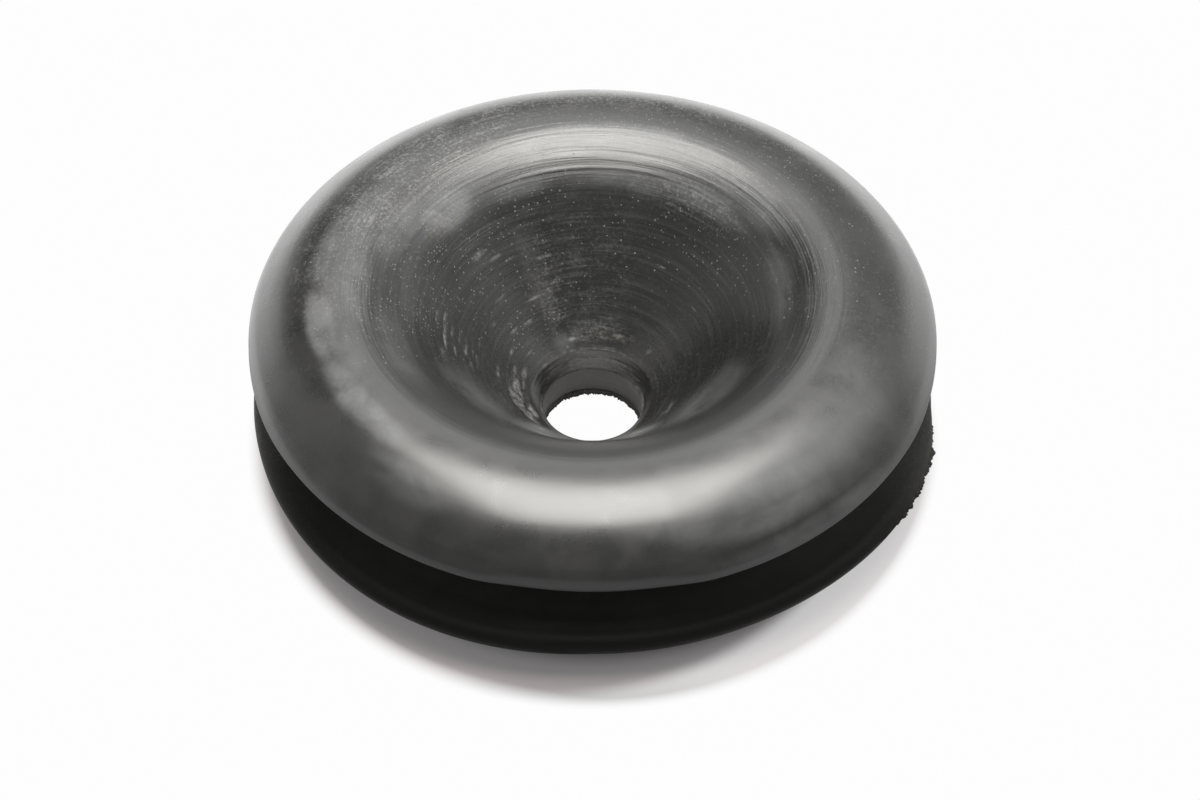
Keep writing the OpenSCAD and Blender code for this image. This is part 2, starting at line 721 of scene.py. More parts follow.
def grown(name: str, base: bpy.types.Mesh, graph: Graph, values: dict[str, object]) -> bpy.types.Object:
    """What a Geometry Nodes tree makes of a mesh, as a plain object at the origin.

    Args:
        name: The new object's name.
        base: The mesh that the tree starts from.
        graph: The tree's graph.
        values: The tree's inputs by name. The modifier gets them by their sockets' identifiers.

    Returns:
        The new object, with no modifier.
    """
    seed = placed(name + "_seed", base)
    modifier = seed.modifiers.new("grow", "NODES")
    modifier.node_group = graph.tree
    for item in graph.tree.interface.items_tree:
        if item.item_type == "SOCKET" and item.in_out == "INPUT" and item.name in values:
            modifier[item.identifier] = values[item.name]
    result = bpy.data.meshes.new_from_object(seed.evaluated_get(bpy.context.evaluated_depsgraph_get()))
    result.name = name
    seed.modifiers.remove(modifier)
    bpy.data.objects.remove(seed)
    return placed(name, result)


@dataclass(frozen=True)
class Mark:
    """A soft-edged oval patch on the skin.

    Attributes:
        bearing: Angle of its middle, clockwise from the back, in degrees.
        along: Its middle along the section, in millimetres.
        half_bearing: Half its length round the axis, in degrees.
        half_along: Half its width along the section, in millimetres.
        amount: How strong it is.
        core: The share of it, from its middle, that is at full strength.
    """

    bearing: float
    along: float
    half_bearing: float
    half_along: float
    amount: float
    core: float = 0.25

    def cover(self, bearing: np.ndarray, along: np.ndarray) -> np.ndarray:
        """How strongly it covers each place.

        Args:
            bearing: Angles of the places.
            along: Their distances along the section.

        Returns:
            The strengths.
        """
        turn = (bearing - self.bearing + 180) % 360 - 180
        reach = np.hypot(turn / self.half_bearing, (along - self.along) / self.half_along)
        return self.amount * eased(np.clip((1 - reach) / (1 - self.core), 0, 1))


@dataclass(frozen=True)
class Markings:
    """Where the rubber is dusty, filmed over, scuffed or stained, each in the order of the section.

    Attributes:
        film_and_highlight: Pale marks left by handling; the marks at -153, -50, 10 and 155 are painted
            highlight instead.
        dust_and_highlight: Grey dirt lying in the turned lines; the two marks at -49 and 8 on the shoulder
            are painted highlight instead.
        scuff: Rubbed and torn rubber, which is also pressed in.
        warm: Yellow-brown stain.
        grit: Where the grit has settled.
        dull: Where the skin is duller.
        scuff_depth: How deep a full scuff is pressed in, in millimetres.
        scuff_grain: How finely the scuffs are broken up, in breaks a metre.
    """

    film_and_highlight: tuple[Mark, ...] = (
        # Bore and lead-in.
        Mark(-88, 3.3, 28, 0.8, 0.6), Mark(58, 2.0, 26, 1.0, 0.5),
        Mark(72, 2.2, 18, 0.9, 0.5),
        # Cone. The marks at -153 and 155 are painted highlight on the front of the cone beside the bore.
        Mark(-153, 8.0, 22, 6.0, 1.0, 0.15), Mark(-128, 11.5, 28, 4.5, 0.5),
        Mark(-28, 9.6, 9, 6.5, 0.2), Mark(-25, 4.6, 14, 1.0, 0.5),
        Mark(-24, 15.9, 14, 1.0, 0.4), Mark(-2, 5.2, 30, 0.8, 0.15),
        Mark(12, 15.9, 18, 1.1, 0.4), Mark(38, 16.2, 24, 1.3, 0.5),
        Mark(130, 11.6, 30, 4.4, 0.6), Mark(155, 7.0, 20, 5.0, 1.0, 0.15),
        # Shoulder. The marks at -50 and 10 are painted highlight that widens and lengthens the shoulder's
        # highlight at the back.
        Mark(-112, 17.6, 24, 1.6, 0.3), Mark(-90, 19.8, 18, 1.5, 0.5),
        Mark(-66, 18.2, 18, 1.5, 0.4), Mark(-50, 16.8, 12, 1.6, 1.0, 0.4),
        Mark(10, 18.7, 48, 1.6, 0.9, 0.4), Mark(50, 18.0, 22, 1.8, 0.45),
        Mark(82, 16.5, 22, 1.2, 0.25),
        # Dome.
        Mark(-150, 22.4, 20, 1.6, 0.1), Mark(-147, 25.2, 13, 1.5, 0.25),
        Mark(-145, 24.3, 12, 1.1, 0.42), Mark(-125, 22.4, 20, 1.5, 0.8, 0.35),
        Mark(-112, 21.6, 36, 1.8, 0.3), Mark(-101, 22.6, 13, 1.0, 0.95, 0.4),
        Mark(-100, 22.0, 15, 1.3, 0.7, 0.3), Mark(-80, 21.4, 40, 2.2, 0.35),
        Mark(-79, 22.3, 15, 1.2, 0.75, 0.3), Mark(-48, 22.8, 26, 1.8, 0.3),
        Mark(125, 25.4, 18, 2.2, 0.25), Mark(126, 22.5, 30, 2.6, 0.25),
        Mark(147, 25.2, 24, 1.8, 0.38), Mark(150, 21.4, 22, 1.8, 0.25),
        Mark(150, 26.8, 20, 1.3, 0.45), Mark(160, 26.2, 12, 1.1, 0.35),
        Mark(167, 25.7, 6, 1.2, 0.35),
        # Rim and lip.
        Mark(-138, 29.6, 34, 0.6, 0.35), Mark(138, 29.4, 32, 0.7, 0.5),
        Mark(141, 28.8, 22, 0.9, 0.4),
    )
    dust_and_highlight: tuple[Mark, ...] = (
        # Bore and lead-in.
        Mark(0, 3.2, 180, 1.3, 0.25, 0.7), Mark(80, 2.6, 42, 1.2, 1.0, 0.4),
        # Cone.
        Mark(-106, 5.2, 32, 1.5, 1.0, 0.4), Mark(-24, 6.6, 12, 2.6, 0.95),
        Mark(-22, 10.5, 12, 5.5, 0.8), Mark(-2, 10.0, 30, 6.0, 0.45, 0.3),
        Mark(0, 5.0, 36, 1.2, 1.0, 0.4), Mark(34, 15.6, 28, 2.0, 1.0, 0.3),
        # Shoulder. Both marks are painted highlight that widens and lengthens the shoulder's highlight at
        # the back.
        Mark(-49, 17.2, 14, 1.5, 1.0, 0.3), Mark(8, 18.6, 60, 1.7, 0.6, 0.4),
        # Dome.
        Mark(-72, 23.4, 28, 2.4, 0.35), Mark(-46, 21.0, 44, 3.6, 0.95, 0.4),
        Mark(0, 23.4, 60, 2.2, 0.8),
    )
    scuff: tuple[Mark, ...] = (
        # Bore and lead-in.
        Mark(-95, 2.45, 30, 0.22, 0.8), Mark(5, 3.0, 60, 0.1, 0.4),
        Mark(85, 2.3, 40, 0.22, 0.8),
        # Cone.
        Mark(-164, 11.6, 6, 2.0, 0.6, 0.1), Mark(-156, 9.2, 8, 2.4, 0.8, 0.1),
        Mark(-146, 6.2, 10, 1.8, 0.8, 0.1), Mark(-128, 5.4, 14, 0.8, 1.0),
        Mark(-120, 7.6, 10, 0.3, 0.5), Mark(-119, 4.4, 12, 0.7, 1.0, 0.3),
        Mark(-116, 4.5, 10, 0.5, 0.6), Mark(-112, 5.7, 17, 0.85, 1.0, 0.4),
        Mark(-105, 5.0, 9, 0.16, 0.8), Mark(-104, 12.9, 7, 0.3, 0.5),
        Mark(-101, 10.0, 5, 0.14, 0.6), Mark(-97, 11.5, 6, 0.13, 0.8),
        Mark(-96, 5.3, 10, 0.5, 1.0, 0.4), Mark(-96, 9.3, 6, 0.12, 0.6),
        Mark(-95, 7.2, 9, 0.2, 0.7), Mark(-93, 12.45, 9, 0.2, 1.0, 0.3),
        Mark(-92, 10.38, 7, 0.22, 1.0, 0.3), Mark(-91, 9.7, 5, 0.14, 0.35),
        Mark(-90, 4.6, 8, 0.12, 0.7), Mark(-88, 11.0, 5, 0.12, 0.7),
        Mark(-88, 11.75, 5, 0.14, 0.45), Mark(-86, 13.3, 5, 0.16, 0.5),
        Mark(-84, 9.1, 4, 0.1, 0.6), Mark(-84, 12.55, 5, 0.14, 0.7),
        Mark(-83, 5.6, 9, 0.25, 0.8), Mark(-77, 4.75, 8, 0.35, 0.8),
        Mark(-70, 6.4, 8, 0.16, 0.7), Mark(-67, 8.7, 4, 0.2, 0.6),
        Mark(-58, 5.2, 6, 0.12, 0.7), Mark(-57, 7.2, 5, 0.12, 0.6),
        Mark(-52, 9.6, 5, 0.12, 0.6), Mark(-49, 13.05, 5, 0.3, 0.7),
        Mark(-45, 7.0, 6, 0.14, 0.7), Mark(-43, 12.2, 4, 0.16, 0.8),
        Mark(-38, 11.6, 4, 0.12, 0.6), Mark(-35, 8.3, 7, 0.16, 0.6),
        Mark(-23, 10.8, 6, 0.16, 0.5), Mark(-15, 4.6, 14, 0.12, 0.7),
        Mark(-12, 3.75, 75, 0.12, 0.5), Mark(10, 6.0, 9, 0.1, 0.5),
        Mark(22, 4.9, 12, 0.12, 0.6), Mark(33, 10.6, 2, 0.1, 0.7),
        Mark(52, 4.9, 3, 0.3, 0.6), Mark(60, 9.5, 3, 0.1, 0.6),
        Mark(126, 6.6, 12, 0.6, 0.5), Mark(151, 6.4, 10, 1.9, 0.8, 0.1),
        Mark(160, 9.6, 8, 2.2, 0.7, 0.1),
    )
    warm: tuple[Mark, ...] = (
        Mark(-28, 8.0, 12, 4.0, 0.35), Mark(18, 4.9, 30, 0.6, 0.8),
        Mark(-53, 16.4, 12, 1.1, 1.0),
        Mark(-93, 21.8, 9, 2.6, 0.5),
    )
    grit: tuple[Mark, ...] = (
        Mark(-40, 8.0, 60, 5.0, 0.6), Mark(40, 13.5, 50, 4.0, 0.6),
        Mark(-60, 17.0, 75, 9.0, 1.0, 0.3), Mark(0, 17.0, 135, 12.0, 0.12, 0.7),
        Mark(10, 22.0, 75, 4.5, 0.9),
    )
    dull: tuple[Mark, ...] = (
        Mark(-80, 14.4, 16, 2.2, 0.7), Mark(80, 14.6, 18, 2.4, 0.8),
    )
    scuff_depth: float = 0.05
    scuff_grain: float = 2600.0

    def _torn(self, cover: np.ndarray, place: np.ndarray) -> np.ndarray:
        """Breaks up the scuffs' cover, as torn rubber is.

        Args:
            cover: The cover on each vertex.
            place: The vertices' places.

        Returns:
            The broken cover, from 0 to 1.
        """
        for i in np.nonzero(cover > 0.01)[0]:
            cover[i] *= 0.55 + 0.9 * noise.noise(Vector(place[i]) * self.scuff_grain)
        return np.clip(cover, 0, 1)

    def paint(self, mesh: bpy.types.Mesh) -> None:
        """Stores the markings on the skin's vertices and presses the scuffs in.

        Args:
            mesh: The skin. It has the "along" attribute.
        """
        count = len(mesh.vertices)
        place, out, along = np.empty(count * 3), np.empty(count * 3), np.empty(count)
        mesh.vertices.foreach_get("co", place)
        mesh.vertices.foreach_get("normal", out)
        mesh.attributes["along"].data.foreach_get("value", along)
        place, out = place.reshape(-1, 3), out.reshape(-1, 3)
        bearing = np.degrees(np.arctan2(place[:, 0], place[:, 1]))
        for name in ("film_and_highlight", "dust_and_highlight", "scuff", "warm", "grit", "dull"):
            cover = np.zeros(count)
            for mark in getattr(self, name):
                cover = np.maximum(cover, mark.cover(bearing, along))
            if name == "scuff":
                cover = self._torn(cover, place)
                place -= out * (cover * self.scuff_depth * MM)[:, None]
            mesh.attributes.new(name, "FLOAT", "POINT").data.foreach_set("value", cover)
        mesh.vertices.foreach_set("co", place.ravel())
        mesh.update()


class ScatterTree:
    """Geometry Nodes that scatter small flat grains over a skin, thickest where it is painted with grit."""

    FLOATS = {
        "Density": 3.0e6,
        "Clumps": 420.0,
        "Smallest": 1.8e-5,
        "Largest": 5.5e-5,
        "Flatness": 0.3,
        "Sink": 8e-6,
    }
    SEED = 7
    NARROWEST = (0.55, 0.7, 0.8)
    WIDEST = (1.7, 1.1, 1.0)
    CLUMPED = (0.42, 0.66)
    MOSTLY_SMALL = 4.0
    FULL_TURN = 6.28

    def __init__(self) -> None:
        """Builds the tree."""
        inputs = {"Skin": Wire.SHAPE, **self.FLOATS, "Seed": Wire.COUNT, "Material": Wire.FINISH}
        self.graph = new_graph("grit_scatter", TreeKind.SHAPING, inputs, {"Geometry": Wire.SHAPE})
        g = self.graph
        given = g.node("NodeGroupInput")
        grit = g.node("GeometryNodeInputNamedAttribute", {"Name": "grit"}, data_type="FLOAT")
        clumps = g.noise(g.node("GeometryNodeInputPosition"), given["Clumps"])
        density = grit * clumps.ramp(*self.CLUMPED) * given["Density"]
        places = {"Mesh": given["Skin"], "Density": density, "Seed": given["Seed"]}
        points = g.node("GeometryNodeDistributePointsOnFaces", places)
        grain = g.node("GeometryNodeMeshIcoSphere", {"Radius": 1.0, "Subdivisions": 1})
        placing = {"Points": points["Points"], "Instance": grain}
        placing |= {"Rotation": points["Rotation"], "Scale": self._size(given)}
        instances = g.node("GeometryNodeInstanceOnPoints", placing)
        turn = g.node("FunctionNodeRandomValue", {2: 0.0, 3: self.FULL_TURN}, data_type="FLOAT")[1]
        turning = {"Instances": instances, "Rotation": g.xyz(0.0, 0.0, turn)}
        spun = g.node("GeometryNodeRotateInstances", turning)
        sinking = {"Instances": spun, "Translation": g.xyz(0.0, 0.0, given["Sink"] * -1.0)}
        sunk = g.node("GeometryNodeTranslateInstances", sinking)
        whole = g.node("GeometryNodeRealizeInstances", {"Geometry": sunk})
        dressed = g.node("GeometryNodeSetMaterial", {"Geometry": whole, "Material": given["Material"]})
        g.node("NodeGroupOutput", {0: dressed})

    def _size(self, given: Term) -> Term:
        """Each grain's size in its own three directions: mostly small, and flat.

        Args:
            given: The tree's inputs.

        Returns:
            The size.
        """
        g = self.graph
        chance = g.node("FunctionNodeRandomValue", {"Seed": given["Seed"]}, data_type="FLOAT")[1]
        limits = {0: self.NARROWEST, 1: self.WIDEST}
        shape = g.node("FunctionNodeRandomValue", limits, data_type="FLOAT_VECTOR")
        sizes = {"Value": chance**self.MOSTLY_SMALL, "To Min": given["Smallest"], "To Max": given["Largest"]}
        flat = g.vector("MULTIPLY", shape, g.xyz(1.0, 1.0, given["Flatness"]))
        return g.scaled(flat, g.node("ShaderNodeMapRange", sizes))


@dataclass
class Grit:
    """The grains of grit that lie in the moulding's skin.

    Attributes:
        piece: The grains, once they are built.
    """

    piece: bpy.types.Object | None = None

    def build(self, skin: bpy.types.Object, material: bpy.types.Material) -> bpy.types.Object:
        """Scatters the grains.

        Args:
            skin: What they lie on.
            material: Their finish.

        Returns:
            The grains, as one piece.
        """
        values = {"Seed": ScatterTree.SEED, "Material": material} | ScatterTree.FLOATS
        self.piece = grown("grit", skin.data.copy(), ScatterTree().graph, values)
        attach(self.piece, "root")
        return self.piece


@dataclass(frozen=True)
class Strip:
    """A thin strip of moulding flash, drawn by the cuts across it.

    Attributes:
        name: The piece's name.
        along: Distance along the section at which its finish is read.
        closed: True where it runs all the way round.
    """

    name: str
    along: float
    closed: bool

    def build(self, cuts: list[list[Triple]], material: bpy.types.Material) -> bpy.types.Object:
        """Makes the strip.

        Args:
            cuts: The corners of each cut across it, in millimetres.
            material: Its finish.

        Returns:
            The strip, in the scene.
        """
        work = bmesh.new()
        rings = [[work.verts.new([number * MM for number in corner]) for corner in cut] for cut in cuts]
        following = rings[1:] + (rings[:1] if self.closed else [])
        for here, there in zip(rings, following):
            for j in range(len(here)):
                k = (j + 1) % len(here)
                work.faces.new((here[j], here[k], there[k], there[j]))
        if not self.closed:
            work.faces.new(rings[0])
            work.faces.new(rings[-1])
        bmesh.ops.recalc_face_normals(work, faces=work.faces)
        mesh = bpy.data.meshes.new(self.name)
        work.to_mesh(mesh)
        work.free()
        places = [self.along] * len(mesh.vertices)
        mesh.attributes.new("along", "FLOAT", "POINT").data.foreach_set("value", places)
        mesh.materials.append(material)
        return placed(self.name, mesh)


@dataclass
class TornEdge:
    """The ragged moulding flash along part of the lower flange's lip.

    Attributes:
        section: The moulding's section.
        spread: How far the flange itself stands past its circle.
        start: Bearing where it starts, in degrees.
        end: Bearing where it ends.
        step: Bearing between two cuts across it.
        reach: How far it stands out at most, in millimetres.
        half_width: Half of the whole moulding's width, which it keeps inside.
        depth: How far its root goes into the flange.
        thickness: Its thickness at the root.
        under_lip: How far inside the flange's edge it is seated.
        lift: How far it is bent up or down at most.
        bevel: How far in from the tip, and off its height, the corners above and below it are.
        strip: What it is drawn with.
        piece: The flash, once it is built.
    """

    section: Section = Section()
    spread: Spread = Spread()
    start: float = 84.0
    end: float = 126.0
    step: float = 0.14
    reach: float = 0.3
    half_width: float = 23.985
    depth: float = 0.5
    thickness: float = 0.5
    under_lip: float = 0.08
    lift: float = 0.12
    bevel: tuple[Range, Range] = ((0.06, 0.08), (0.08, 0.14))
    strip: Strip = Strip("torn_edge", 44.4, False)
    piece: bpy.types.Object | None = None

    def _standing(self, bearing: float, share: float) -> float:
        """How far it stands out at one place, in millimetres.

        Args:
            bearing: The place, in degrees.
            share: The place as a share of the whole length.

        Returns:
            The reach there.
        """
        coarse = noise.noise(Vector((bearing * 0.55, 3.1, 0.0)))
        fine = noise.noise(Vector((bearing * 2.1, 9.7, 0.0)))
        finest = noise.noise(Vector((bearing * 5.2, 1.7, 0.0)))
        ends = min(1.0, 5 * share, 5 * (1 - share))
        return self.reach * ends * min(1.0, max(0.0, 0.5 + 0.7 * coarse + 0.5 * fine + 0.35 * finest))

    def _cut(self, share: float) -> list[Triple]:
        """One cut across it.

        Args:
            share: Its place as a share of the whole length.

        Returns:
            The cut's corners, in millimetres.
        """
        middle = self.section.flange_t - self.section.lip_round
        bearing = self.start + (self.end - self.start) * share
        tip = middle + self.lift * noise.noise(Vector((bearing * 0.9, 5.5, 1.0)))
        sine, cosine = math.sin(math.radians(bearing)), math.cos(math.radians(bearing))
        root = self.section.flange_d / 2 + self.spread.at(bearing)
        most = min(root - self.under_lip + self.reach, self.half_width / max(abs(sine), abs(cosine)))
        out = most - self.reach + self._standing(bearing, share)
        root = min(root, out) - self.depth
        (above_in, above), (below_in, below) = self.bevel
        corners = (
            (root, middle + self.thickness / 2),
            (out - above_in, tip + above),
            (out, tip),
            (out - below_in, tip - below),
            (root, middle - self.thickness / 2),
        )
        return [(r * sine, r * cosine, z) for r, z in corners]

    def build(self, material: bpy.types.Material) -> bpy.types.Object:
        """Makes the flash.

        Args:
            material: The rubber.

        Returns:
            The flash.
        """
        count = int((self.end - self.start) / self.step)
        self.piece = self.strip.build([self._cut(i / count) for i in range(count + 1)], material)
        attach(self.piece, "root")
        return self.piece


@dataclass
class BoreFlash:
    """The thin ragged flash round the lower edge of the bore.

    Attributes:
        section: The moulding's section.
        reach: How far it stands in at most, in millimetres.
        low: Height of its lower face.
        depth: How far its root goes into the wall.
        thickness: Its thickness at the wall.
        blunt: How far its tip is cut off, inwards and upwards.
        steps: How many steps it has round the axis.
        strip: What it is drawn with.
        piece: The flash, once it is built.
    """

    section: Section = Section()
    reach: float = 0.42
    low: float = 0.1
    depth: float = 0.15
    thickness: float = 0.26
    blunt: Range = (0.02, 0.08)
    steps: int = 720
    strip: Strip = Strip("bore_flash", 0.1, True)
    piece: bpy.types.Object | None = None

    def _cut(self, turn: float) -> list[Triple]:
        """One cut across it.

        Args:
            turn: Its angle in radians, from +X towards +Y.

        Returns:
            The cut's corners, in millimetres.
        """
        wall, low = self.section.bore_d / 2, self.low
        here = Vector((math.cos(turn), math.sin(turn), 0.0))
        coarse, fine, finest = (noise.noise(here * scale) for scale in (4.0, 24.0, 60.0))
        rough = 0.55 + 0.3 * coarse + 0.35 * fine + 0.18 * finest
        rough *= 0.45 + 0.55 * here.y**2
        inner = wall - self.reach * min(1.0, max(0.1, rough))
        corners = (
            (wall + self.depth, low),
            (inner, low + self.blunt[0]),
            (inner + self.blunt[0], low + self.blunt[1]),
            (wall - 0.1, low + self.thickness * 0.7),
            (wall + self.depth, low + self.thickness),
        )
        return [(r * here.x, r * here.y, z) for r, z in corners]

    def build(self, material: bpy.types.Material) -> bpy.types.Object:
        """Makes the flash.

        Args:
            material: The rubber.

        Returns:
            The flash.
        """
        cuts = [self._cut(2 * math.pi * i / self.steps) for i in range(self.steps)]
        self.piece = self.strip.build(cuts, material)
        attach(self.piece, "root")
        return self.piece


@dataclass
class Moulding:
    """The grommet's visible skin.

    Attributes:
        section: Its half section.
        markings: Where it is marked.
        steps_around: How many steps it has round the axis.
        matt_from: Distance along the section from where the rubber is matt.
        piece: The skin, once it is built.
    """

    section: Section = Section()
    markings: Markings = Markings()
    steps_around: int = 288
    matt_from: float = 29.75
    piece: bpy.types.Object | None = None

    @staticmethod
    def _section_mesh(rows: list[Row]) -> bpy.types.Mesh:
        """The half section as a string of vertices with what the tree reads from them.

        Args:
            rows: The section's rows.

        Returns:
            The mesh.
        """
        mesh = bpy.data.meshes.new("half_section")
        links = [(i, i + 1) for i in range(len(rows) - 1)]
        mesh.from_pydata([(row.r * MM, 0.0, row.z * MM) for row in rows], links, [])
        along, ridge = [row.along for row in rows], [row.stretch.ridge for row in rows]
        mesh.attributes.new("along", "FLOAT", "POINT").data.foreach_set("value", along)
        mesh.attributes.new("ridge", "FLOAT", "POINT").data.foreach_set("value", ridge)
        out = [number for row in rows for number in (row.out_r, 0.0, row.out_z)]
        mesh.attributes.new("out", "FLOAT_VECTOR", "POINT").data.foreach_set("vector", out)
        return mesh

    @staticmethod
    def _close(mesh: bpy.types.Mesh) -> None:
        """Joins vertices that lie in one place and turns all faces outwards.

        Args:
            mesh: The skin.
        """
        work = bmesh.new()
        work.from_mesh(mesh)
        bmesh.ops.remove_doubles(work, verts=work.verts, dist=1e-8)
        bmesh.ops.recalc_face_normals(work, faces=work.faces)
        work.to_mesh(mesh)
        work.free()

    def _dress(self, mesh: bpy.types.Mesh, matt: bpy.types.Material) -> None:
        """Gives the groove and the lower flange their own finish.

        Args:
            mesh: The skin.
            matt: The finish, matt and lightened with painted light.
        """
        mesh.materials.append(matt)
        lower = mesh.materials.find(matt.name)
        along = [0.0] * len(mesh.vertices)
        mesh.attributes["along"].data.foreach_get("value", along)
        for face in mesh.polygons:
            if min(along[i] for i in face.vertices) > self.matt_from:
                face.material_index = lower

    def build(self, material: bpy.types.Material, matt: bpy.types.Material) -> bpy.types.Object:
        """Makes the skin, which stands in for the solid.

        Args:
            material: The rubber.
            matt: The rubber in the groove and on the lower flange, lightened with painted light.

        Returns:
            The skin.
        """
        rows = self.section.rows()
        values = {"Rows": len(rows), "Steps Around": self.steps_around, "Material": material}
        values |= TurnedTree.FLOATS
        self.piece = grown("grommet_skin", self._section_mesh(rows), TurnedTree().graph, values)
        mesh = self.piece.data
        self._close(mesh)
        self.markings.paint(mesh)
        self._dress(mesh, matt)
        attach(self.piece, "root")
        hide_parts("grommet")
        return self.piece


# --------------------------------------------------------------------------------------------------
# Finishes
# --------------------------------------------------------------------------------------------------


class SharedEffects:
    """Node groups that several finishes use. They give masks and heights only."""

    def __init__(self) -> None:
        """Builds the groups."""
        self._lines = self._lines_tree()
        self._mottle = self._mottle_tree()
        self._specks = self._specks_tree()

    @staticmethod
    def _lines_tree() -> bpy.types.NodeTree:
        """Fine lines round the axis, broken here and there.

        Returns:
            The group.
        """
        inputs = {"Along": 0.0, "Sine": 0.0, "Cosine": 1.0, "Pitch": 0.1, "Breaks": 2.0}
        outputs = {"Height": Wire.NUMBER, "Threads": Wire.NUMBER}
        g = new_graph("turned_lines", TreeKind.SHADING, inputs, outputs)
        given = g.node("NodeGroupInput")
        spot = Spot(given["Along"], given["Sine"], given["Cosine"])
        height = g.noise(spot.unrolled(given["Pitch"], given["Breaks"]), 1.0, 2.0, 0.6)
        g.node("NodeGroupOutput", {"Height": height, "Threads": height.ramp(0.54, 0.68)})
        return g.tree

    @staticmethod
    def _mottle_tree() -> bpy.types.NodeTree:
        """Uneven blotches, coarse and fine.

        Returns:
            The group.
        """
        inputs = {"Place": Wire.VECTOR, "Size": 1.0}
        g = new_graph("mottle", TreeKind.SHADING, inputs, {"Coarse": Wire.NUMBER, "Fine": Wire.NUMBER})
        given = g.node("NodeGroupInput")
        place = g.scaled(given["Place"], 1.0 / given["Size"])
        coarse = g.noise(place, 0.35, 4.0, 0.6, 0.4)
        g.node("NodeGroupOutput", {"Coarse": coarse, "Fine": g.noise(place, 4.2, 4.0, 0.72)})
        return g.tree

    @staticmethod
    def _specks_tree() -> bpy.types.NodeTree:
        """Small scattered specks.

        Returns:
            The group.
        """
        inputs = {"Place": Wire.VECTOR, "Size": 0.2, "Share": 0.1}
        g = new_graph("specks", TreeKind.SHADING, inputs, {"Mask": Wire.NUMBER})
        given = g.node("NodeGroupInput")
        cells = g.node("ShaderNodeTexVoronoi", {"Scale": 1.0 / given["Size"], "Vector": given["Place"]})
        chance = g.node("ShaderNodeSeparateColor", {0: cells["Color"]})
        picked = chance.apply("LESS_THAN", given["Share"])
        radius = chance[1] * 0.22 + 0.14
        dot = cells["Distance"].apply("LESS_THAN", radius)
        g.node("NodeGroupOutput", {"Mask": picked * dot})
        return g.tree

    def lines(self, spot: Spot, pitch: float, breaks: float) -> Term:
        """One set of turned lines.

        Args:
            spot: Where they are read.
            pitch: From line to line, in millimetres.
            breaks: How often they are broken round the axis.

        Returns:
            The lines' node, with Height and Threads.
        """
        inputs = {"Along": spot.along, "Sine": spot.sine, "Cosine": spot.cosine}
        inputs |= {"Pitch": pitch, "Breaks": breaks}
        return self._used(spot.along.graph, self._lines, inputs)

    def mottle(self, place: Term, size: float) -> Term:
        """Blotches of one size, in millimetres, as a node with Coarse and Fine."""
        return self._used(place.graph, self._mottle, {"Place": place, "Size": size})

    def specks(self, place: Term, size: float, share: Term) -> Term:
        """Specks of one size, in millimetres, where a share of the places has one."""
        return self._used(place.graph, self._specks, {"Place": place, "Size": size, "Share": share})

    @staticmethod
    def _used(g: Graph, group: bpy.types.NodeTree, inputs: dict[str, Term | float]) -> Term:
        """A group's node with its inputs fed."""
        return g.node("ShaderNodeGroup", inputs, node_tree=group)


def new_material(name: str) -> tuple[bpy.types.Material, Graph]:
    """A new material.

    Args:
        name: Its name.

    Returns:
        The material and the graph to build it with.
    """
    made = bpy.data.materials.new(name)
    made.use_nodes = True
    return made, Graph(made.node_tree)


